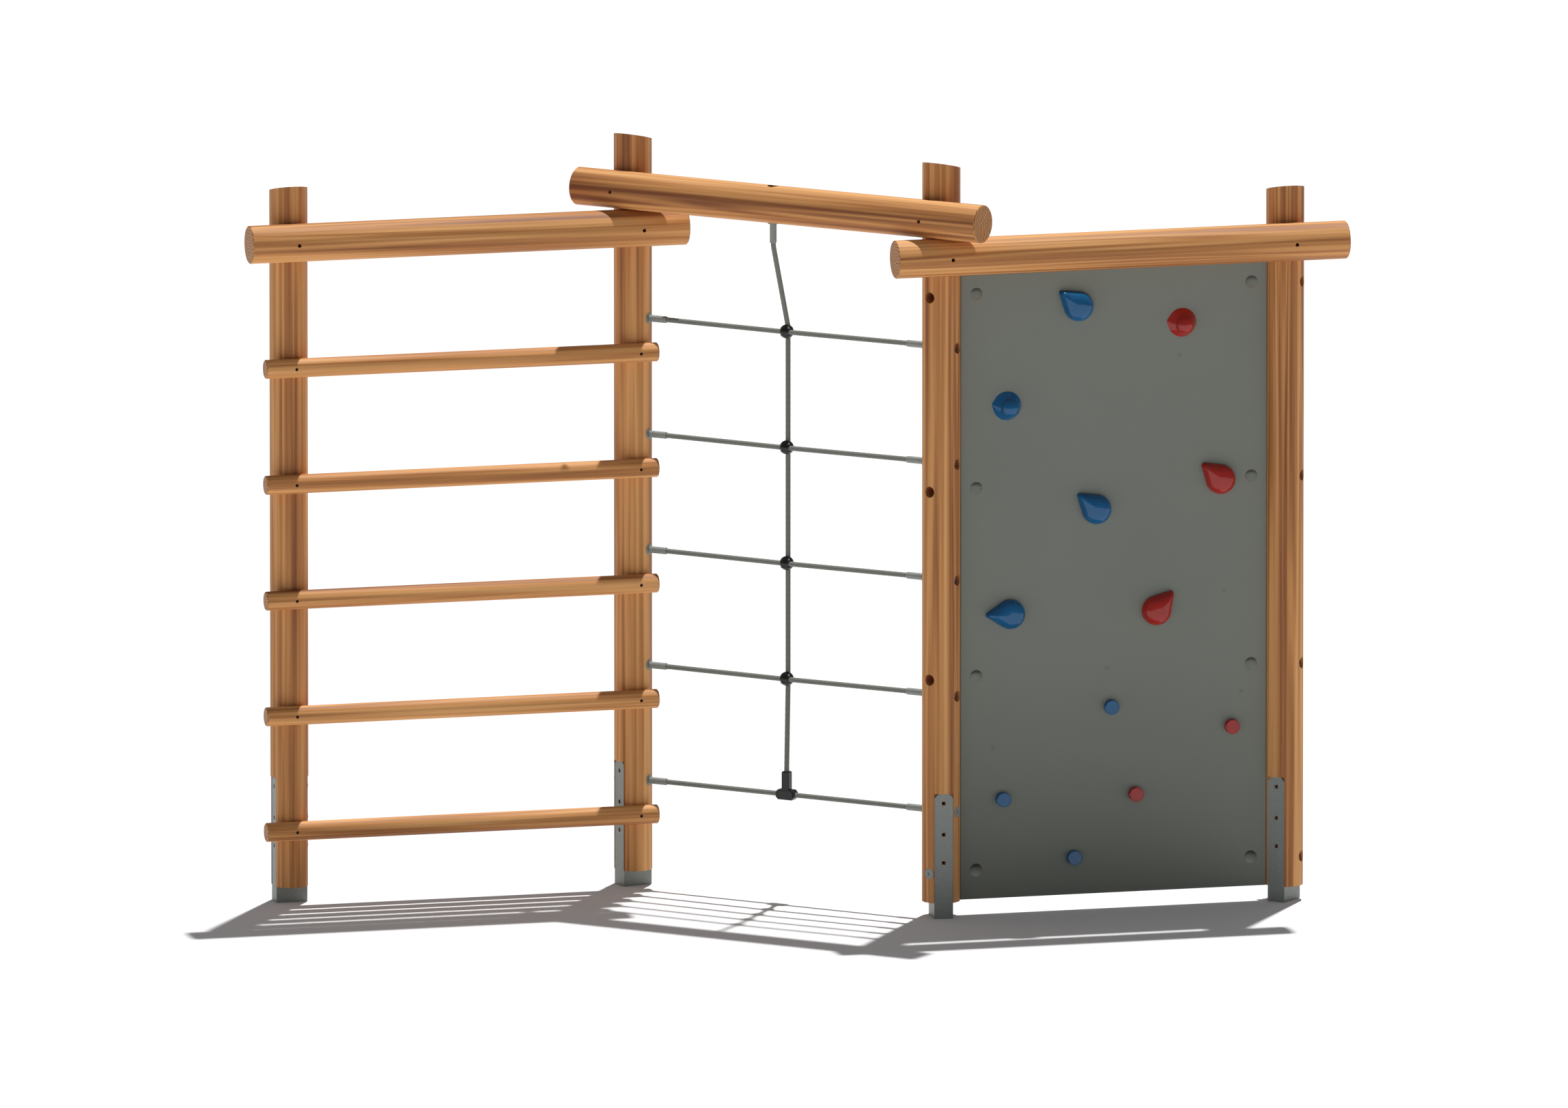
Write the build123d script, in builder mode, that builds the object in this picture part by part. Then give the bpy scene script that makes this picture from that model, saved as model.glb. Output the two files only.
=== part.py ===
from build123d import *
import os
from math import cos, pi, radians, sin, tan

# A climbing frame of three bays that stand in a zigzag: a ladder of round rungs, a rope net and a
# climbing wall. Four round timber posts stand in galvanised shoes, and a round timber beam crosses the
# top of each bay. Sizes are millimetres and degrees. +X runs along the ladder and the wall, the front
# faces -Y, +Z is up, and the origin is on the ground under the middle of the whole frame.

os.makedirs("parts", exist_ok=True)

# ---- Layout
bay = 1120.0  # from one post's axis to the next, in every bay
zigzag = 45.0  # how far the net bay turns from the line of the other two

# ---- Clearances
fit = 0.3  # round a timber in its saddle, a strap in its slot and a plate on a round post
bore_fit = 0.2  # all round a screw, a bolt or a rope in its hole

# ---- Posts
post_d = 120.0
post_above_beam = 159.0  # the sawn top, on the post's axis, above the axis of its highest beam
post_top_slope = 15.0  # the top is sawn to shed water, high on the beam's side

# ---- Beams
beam_d = 120.0
beam_z = 2116.0  # axis of the ladder's beam and of the wall's beam
beam_saddle = 35.0  # how deep a post takes a beam in
ladder_beam_past = 150.0  # how far a beam runs past the axis of its outer post
net_beam_past_left = 150.0
net_beam_past_right = 200.0
wall_beam_past = 175.0
beam_chamfer = 3.0

# ---- Rungs
rung_d = 60.0
rung_count = 5
first_rung_z = 235.0
top_rung_below_beam = 401.0
rung_saddle = 15.0
rung_past_left = 96.0
rung_past_right = 60.0
rung_chamfer = 3.0

# ---- Shoes
shoe_depth = 100.0  # over the outer faces of the two straps
shoe_width = 60.0
shoe_wall = 6.0
leg_h = 50.0  # the steel leg between the ground and the post's foot
strap_top_z = 400.0
strap_corner = 15.0
strap_hole = 12.0  # square
strap_hole_heights = (178.0, 268.0, 368.0)
strap_pilot_d = 10.0  # the empty bores behind the front strap's holes
strap_pilot_depth = 30.0
vent_d = 12.0
shoe_angles = (180.0, 195.0, -95.0, -135.0)  # which way each shoe's front strap faces
shoe_screw_d = 10.0
shoe_screw_l = 50.0
shoe_washer_d = 24.0
shoe_washer_t = 2.0
hex_head = 17.0  # across the flats, for every 10 mm bolt and nut
hex_head_h = 6.5
hex_nut_h = 8.0

# ---- Timber screws
beam_screw_d = 8.0
beam_screw_head_d = 11.4
beam_screw_head_h = 6.0
beam_screw_sink = 25.0  # from the beam's front to the underside of the head
beam_screw_l = 150.0
rung_screw_d = 6.0
rung_screw_head_d = 9.4
rung_screw_head_h = 5.0
rung_screw_sink = 13.0
rung_screw_l = 98.0
socket_share = 0.5  # a socket across its flats, and its depth, as shares of the head
disc_socket_share = 0.26  # across its flats in a wide round head

# ---- Climbing wall
panel_t = 18.0
panel_foot_z = 50.0
panel_top_below_beam = 42.0
panel_side_gap = 0.5
panel_edge = 2.0
dish_d = 41.0  # a round dish in front of each bracket screw
dish_depth = 10.0
dish_from_edge = 51.6  # from the post's side to the middle of a dish
dish_from_end = 93.0
dish_middle_pitch = 600.0
hold_h = 40.0
drop_w = 95.0
drop_l = 127.0
drop_tip_r = 9.0
drop_centre_back = 9.0  # from the middle of a drop's area to the middle of its round end
drop_sections = (  # (share of height, of outline)
    (0.0, 1.0),
    (0.3, 0.975),
    (0.55, 0.9),
    (0.75, 0.775),
    (0.9, 0.6),
    (0.975, 0.4),
    (1.0, 0.22),
)
round_d = 92.0  # the flank's foot, which runs out to a blunt corner on one side
round_across = 96.0  # over the foot and its corner
round_corner_r = 16.0
round_corner_rise = 4.0
round_flank_h = 20.0
round_dome_d = 60.0
round_dome_right = 7.0  # the dome's middle from the middle of the foot
round_dome_below = 5.0
neck = 0.5  # the flank's top inside the dome's foot
peg_d = 46.0
peg_h = 20.0
peg_edge = 2.0
plug_d = 14.0
plug_l = 6.0
hold_bolt_d = 10.0
hold_washer_d = 24.0
hold_washer_t = 2.0
drop_holds = (  # (from the panel's middle, height, which way the tip points)
    (-123.0, 1934.0, 141.0),
    (341.0, 1362.0, 139.0),
    (-64.0, 1284.0, 140.0),
    (145.0, 953.0, 48.0),
    (-347.0, 956.0, 180.0),
)
round_holds = ((220.0, 1862.0), (-350.0, 1621.0))
foot_pegs = ((-9.0, 645.0), (385.0, 565.0), (-362.0, 366.0), (71.0, 363.0), (-130.0, 169.0))
spare_inserts = ((213.0, 1758.0), (359.0, 1001.0), (-22.0, 769.0), (417.0, 676.0), (-394.0, 530.0))

# ---- Wall brackets
bracket_t = 5.0
bracket_w = 40.0
bracket_angle = 36.0  # from the wall's plane to the bolt through the post
bracket_end = 20.0  # the plate past the middle of each of its holes
bracket_screw_d = 8.0
bracket_screw_reach = 6.0  # into the panel
bracket_screw_head = 13.0
bracket_screw_head_h = 5.5
post_bolt_d = 10.0
post_bolt_sink = 45.0
post_bolt_past_nut = 3.0
post_washer_d = 24.0
post_washer_t = 2.0
counterbore_d = 36.0
disc_d = 34.0  # a round bolt head or washer that shows
disc_t = 4.0
disc_sink = 21.0  # from the post's side to the underside of a sunk disc

# ---- Rope net
rope_d = 16.0
rope_count = 5
first_rope_z = 338.0
top_rope_below_beam = 418.3
ferrule_d = 21.5
ferrule_reach = 63.0  # from the timber's surface to the ferrule's mouth
ferrule_grip = 44.0  # how deep the rope goes into it
ferrule_thread = 12.0
ferrule_edge = 1.5
spot_depth = 2.5  # the flat seat for a disc on a round timber
hanger_sink = 25.0
ball_d = 45.0
seam = 0.4  # between the two halves of a connector
connector_screw_d = 4.0
connector_screw_head_d = 7.0
connector_screw_head_h = 3.0
connector_screw_l = 17.0
connector_screw_out = 12.5
connector_screw_seat = 8.0
tee_l = 66.0
tee_h = 32.0
tee_stem_w = 26.0
tee_stem_top = 74.0
tee_corner = 8.0
tee_edge = 3.0
tee_screw_d = 3.0
tee_screw_head_d = 5.0
tee_screw_out = 24.0
tee_screw_below = 12.0
groove_pinch = 1.0  # how much narrower a connector's groove is at its mouth than the rope
tight_bend = 80.0  # the hanging rope's bends at its ferrule's mouth and in the top connector
clip_bend = 600.0  # its slight bends below the lowest crossing
bend_share = 0.45
grip_clear = 22.0  # straight rope past a ferrule's mouth or a connector

base = (Align.CENTER, Align.CENTER, Align.MIN)
hung = (Align.CENTER, Align.CENTER, Align.MAX)


def outward(angle):
    """The level direction at that angle from +X."""
    return Vector(cos(radians(angle)), sin(radians(angle)), 0)


def facing(centre, angle, distance, height):
    """A plane that faces the level direction angle, that far from the upright axis through centre."""
    place = centre + outward(angle) * distance + Vector(0, 0, height)
    return Plane(origin=place, x_dir=outward(angle + 90), z_dir=outward(angle))


def evenly(first, last, count):
    """That many heights from first to last, at an equal pitch."""
    return [first + (last - first) * i / (count - 1) for i in range(count)]


def save(piece, name):
    """Label a finished piece and write it to a file of its own."""
    piece.part.label = name
    export_step(piece.part, f"parts/{name}.step")


# ---- Places
post_r = post_d / 2
beam_set = post_r + beam_d / 2 - beam_saddle
rung_set = post_r + rung_d / 2 - rung_saddle
net_beam_z = beam_z + beam_d + fit
rung_heights = evenly(first_rung_z, beam_z - top_rung_below_beam, rung_count)
rope_heights = evenly(first_rope_z, net_beam_z - top_rope_below_beam, rope_count)

front = -90.0
net_right = -zigzag
net_left = 180 - zigzag
net_front = net_right - 90
across = outward(0)
net_way = outward(net_right)

net_end = net_way * (bay / 2 + net_beam_past_right) + outward(net_front) * beam_set
end_chamfer = beam_chamfer * min(cos(radians(zigzag)), sin(radians(zigzag)))
end_corner = beam_d / 2 * cos(radians(zigzag)) - end_chamfer
left_edge = -net_way.X * bay / 2 - bay - ladder_beam_past
right_edge = net_way.X * bay / 2 + bay + wall_beam_past
back_end = net_way * -(bay / 2 + net_beam_past_left) + outward(net_front) * beam_set
back_edge = max(-net_way.Y * bay / 2 + post_r, back_end.Y + end_corner)
front_edge = net_end.Y - end_corner
net_middle = Vector(-(left_edge + right_edge) / 2, -(front_edge + back_edge) / 2, 0)

posts = [
    net_middle - net_way * (bay / 2) - across * bay,
    net_middle - net_way * (bay / 2),
    net_middle + net_way * (bay / 2),
    net_middle + net_way * (bay / 2) + across * bay,
]
saddles = [[], [], [], []]  # (plane across the timber, its radius), for each post
bores = [[], [], [], []]  # (plane at the mouth, radius, depth), for each post


def saddle(post, angle, set_out, height, diameter, way):
    """Let a round timber that runs along way into a post."""
    place = posts[post] + outward(angle) * set_out + Vector(0, 0, height)
    saddles[post].append((Plane(origin=place, z_dir=way), diameter / 2 + fit))


def bore(post, angle, floor, height, diameter):
    """Drill a post from outside it, in towards its axis, to floor, which is negative past the axis."""
    bores[post].append((facing(posts[post], angle, post_d, height), diameter / 2, post_d - floor))


def sockets(places, head_d, head_h, share=socket_share):
    """The hexagon sockets to cut in the tops of round heads that stand on the places."""
    with BuildPart() as cuts:
        with BuildSketch(*[place.offset(head_h) for place in places]):
            RegularPolygon(head_d * share / 2, 6, major_radius=False)
        extrude(amount=-head_h * socket_share)
    return cuts.part


def socket_screws(places, head_d, head_h, shank_d, lengths, share=socket_share):
    """Round-headed screws, each with the underside of its head on its place."""
    with BuildPart() as group:
        for place, length in zip(places, lengths):
            with Locations(place):
                Cylinder(head_d / 2, head_h, align=base)
                Cylinder(shank_d / 2, length, align=hung)
        add(sockets(places, head_d, head_h, share), mode=Mode.SUBTRACT)
    return group


def hex_bolts(places, flats, head_h, shank_d, lengths, washer_d, washer_t):
    """Hexagon bolts over their washers, each washer with its underside on its place."""
    with BuildPart() as group:
        with BuildSketch(*[place.offset(washer_t) for place in places]):
            RegularPolygon(flats / 2, 6, major_radius=False)
        extrude(amount=head_h)
        for place, length in zip(places, lengths):
            with Locations(place.offset(washer_t)):
                Cylinder(shank_d / 2, length, align=hung)
    with BuildPart() as washers:
        with BuildSketch(*places):
            Circle(washer_d / 2)
            Circle(shank_d / 2 + bore_fit, mode=Mode.SUBTRACT)
        extrude(amount=washer_t)
    return group, washers


def bar(diameter, start, end, edge):
    """A round timber from start to end, with its two end edges chamfered."""
    with BuildPart() as piece:
        with BuildSketch(Plane(origin=start, z_dir=end - start)):
            Circle(diameter / 2)
        extrude(amount=(end - start).length)
        chamfer(piece.edges().filter_by(GeomType.CIRCLE), edge)
    return piece


# ---- Ladder bay: beam, rungs and the screws that hold the timbers to the posts
beam_screw_places = []
rung_screw_places = []
beams = [  # (name, angle of its front, its two posts, height, how far past each post)
    ("beam_ladder", front, (0, 1), beam_z, (ladder_beam_past, ladder_beam_past)),
    ("beam_net", net_front, (1, 2), net_beam_z, (net_beam_past_left, net_beam_past_right)),
    ("beam_wall", front, (2, 3), beam_z, (wall_beam_past, wall_beam_past)),
]
for name, angle, pair, height, past in beams:
    way = outward(angle + 90)
    axis_at = outward(angle) * beam_set + Vector(0, 0, height)
    start = posts[pair[0]] + axis_at - way * past[0]
    end = posts[pair[1]] + axis_at + way * past[1]
    fronts = [facing(posts[post], angle, beam_set + beam_d / 2, height) for post in pair]
    with BuildPart() as beam:
        add(bar(beam_d, start, end, beam_chamfer).part)
        with Locations(*fronts):
            CounterBoreHole(beam_screw_d / 2 + bore_fit, beam_screw_head_d / 2 + fit, beam_screw_sink)
        if name == "beam_net":
            top = Plane(origin=net_middle + axis_at + Vector(0, 0, beam_d / 2))
            with Locations(top):
                CounterBoreHole(post_bolt_d / 2 + bore_fit, counterbore_d / 2, hanger_sink)
            with Locations(top.offset(-beam_d)):
                Cylinder(disc_d / 2 + fit, spot_depth, align=base, mode=Mode.SUBTRACT)
    save(beam, name)
    for post, place in zip(pair, fronts):
        saddle(post, angle, beam_set, height, beam_d, way)
        tip = beam_set + beam_d / 2 - beam_screw_sink - beam_screw_l
        bore(post, angle, tip - bore_fit, height, beam_screw_d + 2 * bore_fit)
        beam_screw_places.append(place.offset(-beam_screw_sink))

beam_screws = socket_screws(
    beam_screw_places,
    beam_screw_head_d,
    beam_screw_head_h,
    beam_screw_d,
    [beam_screw_l] * len(beam_screw_places),
)
save(beam_screws, "beam_screws")

for number, height in enumerate(rung_heights, 1):
    axis_at = outward(front) * rung_set + Vector(0, 0, height)
    start = posts[0] + axis_at - across * rung_past_left
    end = posts[1] + axis_at + across * rung_past_right
    fronts = [facing(posts[post], front, rung_set + rung_d / 2, height) for post in (0, 1)]
    with BuildPart() as rung:
        add(bar(rung_d, start, end, rung_chamfer).part)
        with Locations(*fronts):
            CounterBoreHole(rung_screw_d / 2 + bore_fit, rung_screw_head_d / 2 + fit, rung_screw_sink)
    save(rung, f"rung_{number}")
    for post, place in zip((0, 1), fronts):
        saddle(post, front, rung_set, height, rung_d, across)
        tip = rung_set + rung_d / 2 - rung_screw_sink - rung_screw_l
        bore(post, front, tip - bore_fit, height, rung_screw_d + 2 * bore_fit)
        rung_screw_places.append(place.offset(-rung_screw_sink))

rung_screws = socket_screws(
    rung_screw_places,
    rung_screw_head_d,
    rung_screw_head_h,
    rung_screw_d,
    [rung_screw_l] * len(rung_screw_places),
)
save(rung_screws, "rung_screws")

# ---- Shoes: a closed steel leg under each post, with two straps let into the post's sides
shoe_bolt_places = []
for number, (centre, angle) in enumerate(zip(posts, shoe_angles), 1):
    frame = Plane(origin=centre, x_dir=outward(angle), z_dir=(0, 0, 1))
    with BuildPart() as shoe:
        with BuildSketch(Plane(origin=centre, x_dir=outward(angle), z_dir=outward(angle - 90))):
            with Locations((0, strap_top_z / 2)):
                Rectangle(shoe_depth, strap_top_z)
            with Locations((0, leg_h + strap_top_z / 2)):
                Rectangle(shoe_depth - 2 * shoe_wall, strap_top_z, mode=Mode.SUBTRACT)
        extrude(amount=shoe_width / 2, both=True)
        tops = shoe.faces().filter_by(Axis.Z).sort_by(Axis.Z)[-2:]
        corners = [edge for top in tops for edge in top.edges().sort_by(Edge.length)[:2]]
        chamfer(corners, strap_corner)
        with Locations(frame.offset(shoe_wall)):
            Box(
                shoe_depth - 2 * shoe_wall,
                shoe_width - 2 * shoe_wall,
                leg_h - 2 * shoe_wall,
                align=base,
                mode=Mode.SUBTRACT,
            )
        with Locations(frame):
            Cylinder(vent_d / 2, shoe_wall, align=base, mode=Mode.SUBTRACT)
        for height in strap_hole_heights:
            with Locations(frame.offset(height)):
                Box(2 * shoe_depth, strap_hole, strap_hole, mode=Mode.SUBTRACT)
    save(shoe, f"shoe_{number}")
    for height in strap_hole_heights:
        shoe_bolt_places.append(facing(centre, angle + 180, shoe_depth / 2, height))
        tip = shoe_depth / 2 + shoe_washer_t - shoe_screw_l
        bore(number - 1, angle + 180, tip - bore_fit, height, shoe_screw_d + 2 * bore_fit)
        bore(number - 1, angle, shoe_depth / 2 - shoe_wall - strap_pilot_depth, height, strap_pilot_d)

shoe_screws, shoe_washers = hex_bolts(
    shoe_bolt_places,
    hex_head,
    hex_head_h,
    shoe_screw_d,
    [shoe_screw_l] * len(shoe_bolt_places),
    shoe_washer_d,
    shoe_washer_t,
)
save(shoe_screws, "shoe_screws")
save(shoe_washers, "shoe_washers")

# ---- Climbing wall: the panel, its holds and pegs, and the bolts that hold them from behind
panel_top_z = beam_z - panel_top_below_beam
panel_w = bay - post_d - 2 * panel_side_gap
panel_middle = (posts[2] + posts[3]) / 2
panel_face = facing(panel_middle, front, panel_t / 2, 0)
panel_back = panel_face.offset(-panel_t)
dish_reach = bay / 2 - post_r - dish_from_edge
dish_mid_z = (panel_foot_z + panel_top_z) / 2
dish_heights = (
    panel_foot_z + dish_from_end,
    dish_mid_z - dish_middle_pitch / 2,
    dish_mid_z + dish_middle_pitch / 2,
    panel_top_z - dish_from_end,
)
dish_radius = (dish_d**2 / 4 + dish_depth**2) / (2 * dish_depth)
dish_places = [(side * dish_reach, height) for side in (-1, 1) for height in dish_heights]
hold_places = [place[:2] for place in drop_holds] + list(round_holds) + list(foot_pegs)

with BuildPart() as climbing_panel:
    with BuildSketch(panel_face):
        with Locations((0, dish_mid_z)):
            Rectangle(panel_w, panel_top_z - panel_foot_z)
    extrude(amount=-panel_t)
    chamfer(climbing_panel.edges().filter_by(Axis.Y, reverse=True), panel_edge)
    with Locations(panel_face.offset(dish_radius - dish_depth)):
        with Locations(*dish_places):
            Sphere(dish_radius, rotation=(90, 0, 0), mode=Mode.SUBTRACT)
    with Locations(panel_back):
        with Locations(*dish_places):
            Cylinder(
                bracket_screw_d / 2 + bore_fit,
                bracket_screw_reach + bore_fit,
                align=base,
                mode=Mode.SUBTRACT,
            )
        with Locations(*hold_places):
            Cylinder(hold_bolt_d / 2 + bore_fit, panel_t, align=base, mode=Mode.SUBTRACT)
    with Locations(panel_face):
        with Locations(*spare_inserts):
            Cylinder(plug_d / 2 + bore_fit, plug_l, align=hung, mode=Mode.SUBTRACT)
save(climbing_panel, "climbing_panel")

with BuildPart() as spare_plugs:
    with Locations(panel_face):
        with Locations(*spare_inserts):
            Cylinder(plug_d / 2, plug_l, align=hung)
save(spare_plugs, "spare_plugs")


def bolt_hole(depth):
    """Drill a hold's blind hole, where the hold stands."""
    Cylinder(hold_bolt_d / 2 + bore_fit, depth + bore_fit, align=base, mode=Mode.SUBTRACT)


hold_bolt_reach = hold_h / 2  # into a hold
peg_bolt_reach = peg_h * 0.7

for number, (along, height, tip_angle) in enumerate(drop_holds, 1):
    stand = Plane(panel_face * Location((along, height, 0), (0, 0, tip_angle)))
    with BuildPart() as hold:
        for rise, size in drop_sections:
            with BuildSketch(stand.offset(rise * hold_h)):
                with Locations((-drop_centre_back, 0)):
                    Circle(size * drop_w / 2)
                tip_out = drop_l - drop_w / 2 - drop_tip_r
                with Locations((size * tip_out - drop_centre_back, 0)):
                    Circle(size * drop_tip_r)
                make_hull()
        loft(ruled=True)
        with Locations(stand):
            bolt_hole(hold_bolt_reach)
    save(hold, f"drop_hold_{number}")

dome_rise = hold_h - round_flank_h
dome_radius = ((round_dome_d / 2) ** 2 + dome_rise**2) / (2 * dome_rise)
for number, (along, height) in enumerate(round_holds, 1):
    stand = Plane(panel_face * Location((along, height, 0)))
    dome_at = Plane(stand * Location((round_dome_right, -round_dome_below, 0)))
    with BuildPart() as hold:
        with BuildSketch(stand):
            with Locations((round_across / 2 - round_d / 2, 0)):
                Circle(round_d / 2)
            with Locations((round_corner_r - round_across / 2, round_corner_rise)):
                Circle(round_corner_r)
            make_hull()
        with BuildSketch(dome_at.offset(round_flank_h)):
            Circle(round_dome_d / 2 - neck)
            with Locations((round_corner_r - round_dome_d / 2, 0)):
                Circle(round_corner_r)
            make_hull()
        loft(ruled=True)
        with Locations(dome_at.offset(hold_h - dome_radius)):
            Sphere(dome_radius, rotation=(90, 0, 0))
        split(bisect_by=stand, keep=Keep.TOP)
        with Locations(stand):
            bolt_hole(hold_bolt_reach)
    save(hold, f"round_hold_{number}")

for number, place in enumerate(foot_pegs, 1):
    stand = Plane(panel_face * Location((*place, 0)))
    with BuildPart() as peg:
        with BuildSketch(stand):
            Circle(peg_d / 2)
        extrude(amount=peg_h)
        chamfer(peg.faces().sort_by(Axis.Y)[0].edges(), peg_edge)
        with Locations(stand):
            bolt_hole(peg_bolt_reach)
    save(peg, f"foot_peg_{number}")

behind = facing(panel_middle, front + 180, panel_t / 2, 0)
hold_bolt_places = [Plane(behind * Location((-along, height, 0))) for along, height in hold_places]
grips = [hold_bolt_reach] * (len(drop_holds) + len(round_holds)) + [peg_bolt_reach] * len(foot_pegs)
hold_bolts, hold_washers = hex_bolts(
    hold_bolt_places,
    hex_head,
    hex_head_h,
    hold_bolt_d,
    [hold_washer_t + panel_t + grip for grip in grips],
    hold_washer_d,
    hold_washer_t,
)
save(hold_bolts, "hold_bolts")

# ---- Wall brackets: a bent plate behind each dish, from the post's far side to the panel's back
bolt_way = outward(bracket_angle)
slope_way = outward(bracket_angle - 90)
touch = bolt_way * (post_r + fit)
knee = touch + slope_way * ((touch.Y - panel_t / 2) / -slope_way.Y)
tail = Vector(post_r + dish_from_edge + bracket_end, panel_t / 2, 0)
nose = touch - slope_way * bracket_end
mitre = (bolt_way + Vector(0, 1, 0)).normalized()
mitre_reach = bracket_t / cos(radians(90 - bracket_angle) / 2)
outline = (
    nose,
    knee,
    tail,
    tail + Vector(0, bracket_t, 0),
    knee + mitre * mitre_reach,
    nose + bolt_way * bracket_t,
)
with BuildPart() as wall_brackets_left:
    for height in dish_heights:
        with BuildSketch(Plane(posts[2] + Vector(0, 0, height))):
            with BuildLine():
                Polyline(*[(point.X, point.Y) for point in outline], close=True)
            make_face()
        extrude(amount=bracket_w / 2, both=True)
    for height in dish_heights:
        with Locations(facing(posts[2], bracket_angle, post_r, height)):
            Cylinder(post_bolt_d / 2 + bore_fit, bracket_w, mode=Mode.SUBTRACT)
        with Locations(behind * Location((dish_reach, height, 0))):
            Cylinder(bracket_screw_d / 2 + bore_fit, bracket_w, mode=Mode.SUBTRACT)
save(wall_brackets_left, "wall_brackets_left")

with BuildPart() as wall_brackets_right:
    mirror(wall_brackets_left.part, about=Plane(origin=panel_middle, z_dir=across))
save(wall_brackets_right, "wall_brackets_right")

bracket_screws, bracket_washers = hex_bolts(
    [Plane(behind * Location((along, height, bracket_t))) for along, height in dish_places],
    bracket_screw_head,
    bracket_screw_head_h,
    bracket_screw_d,
    [post_washer_t + bracket_t + bracket_screw_reach] * len(dish_places),
    post_washer_d,
    post_washer_t,
)
save(bracket_screws, "bracket_screws")

post_bolt_places = []
post_bolt_lengths = []
post_nut_places = []
far_side = post_r + fit + bracket_t
nut_side = far_side + post_washer_t
for post, angle in ((2, bracket_angle), (3, 180 - bracket_angle)):
    for level, height in enumerate(dish_heights):
        flush = post == 2 and level == 0
        seat = post_r - disc_t if flush else post_r - post_bolt_sink
        post_bolt_places.append(facing(posts[post], angle + 180, seat, height))
        post_bolt_lengths.append(seat + nut_side + hex_nut_h + post_bolt_past_nut)
        post_nut_places.append(facing(posts[post], angle, far_side, height))
        bore(post, angle + 180, seat, height, disc_d + 2 * fit if flush else counterbore_d)
        bore(post, angle + 180, -post_d, height, post_bolt_d + 2 * bore_fit)
post_bolts = socket_screws(
    post_bolt_places,
    disc_d,
    disc_t,
    post_bolt_d,
    post_bolt_lengths,
    disc_socket_share,
)
save(post_bolts, "post_bolts")

with BuildPart() as post_nuts:
    with BuildSketch(*[place.offset(post_washer_t) for place in post_nut_places]):
        RegularPolygon(hex_head / 2, 6, major_radius=False)
        Circle(post_bolt_d / 2 + bore_fit, mode=Mode.SUBTRACT)
    extrude(amount=hex_nut_h)
with BuildPart() as wall_washers:
    with BuildSketch(*post_nut_places):
        Circle(post_washer_d / 2)
        Circle(post_bolt_d / 2 + bore_fit, mode=Mode.SUBTRACT)
    extrude(amount=post_washer_t)
    add(hold_washers.part)
    add(bracket_washers.part)
save(post_nuts, "post_nuts")
save(wall_washers, "wall_washers")

# ---- Rope net: level ropes between the posts, and one that hangs from the beam and crosses them
disc_out = post_r - spot_depth + disc_t
ferrule_l = post_r + ferrule_reach - disc_out
rope_in = post_r + ferrule_reach - ferrule_grip + fit
cross_set = rope_d / 2 + bore_fit  # a crossing rope's axis from the net's middle plane


def at_net(along, forward, height):
    """A point of the net, from its middle, along it to the right and out of its front."""
    return net_middle + net_way * along + outward(net_front) * forward + Vector(0, 0, height)


def wide_bends(points):
    """At each inner point, 0.45 of the shorter run over the tangent of half the turn."""
    radii = []
    for before, here, after in zip(points, points[1:], points[2:]):
        arriving = here - before
        leaving = after - here
        half_turn = radians(arriving.get_angle(leaving) / 2)
        radii.append(bend_share * min(arriving.length, leaving.length) / tan(half_turn))
    return radii


def tube(points, radii, diameter):
    """A round section carried along straight runs that tangent arcs join."""
    with BuildPart() as piece:
        with BuildLine() as route:
            if radii:
                FilletPolyline(*points, radius=radii)
            else:
                Line(*points)
        with BuildSketch(Plane(origin=points[0], z_dir=points[1] - points[0])):
            Circle(diameter / 2)
        sweep(path=route.wire())
    length = route.wire().length
    error = piece.part.volume / (length * diameter**2 / 4 * pi) - 1
    print(f"tube {length:.1f} long, bends {[round(r) for r in radii]}, volume off by {error:.1e}")
    return piece


reach = bay / 2 - rope_in
straight = bay / 2 - post_r - ferrule_reach - grip_clear
level_routes = []
for height in rope_heights:
    level_routes.append(
        [
            at_net(-reach, 0, height),
            at_net(-straight, 0, height),
            at_net(-ball_d / 2, cross_set, height),
            at_net(ball_d / 2, cross_set, height),
            at_net(straight, 0, height),
            at_net(reach, 0, height),
        ]
    )
level_routes[0] = [level_routes[0][0], level_routes[0][-1]]
level_radii = [wide_bends(route) if len(route) > 2 else [] for route in level_routes]

hanger_z = net_beam_z - beam_d / 2 + spot_depth - disc_t
mouth_z = hanger_z - ferrule_l
hang_route = [
    at_net(0, beam_set, mouth_z + ferrule_grip - fit),
    at_net(0, beam_set, mouth_z - rope_d / 2),
    at_net(0, -cross_set, rope_heights[-1] + ball_d / 3),
    at_net(0, -cross_set, rope_heights[1] - ball_d / 2),
    at_net(0, 0, rope_heights[0] + tee_stem_top + grip_clear / 2),
    at_net(0, 0, rope_heights[0] + rope_d / 2 + ferrule_thread),
]
hang_radii = [tight_bend, tight_bend, clip_bend, clip_bend]

for number, (route, radii) in enumerate(zip(level_routes, level_radii), 1):
    save(tube(route, radii, rope_d), f"rope_level_{number}")
save(tube(hang_route, hang_radii, rope_d), "rope_hanging")

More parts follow.
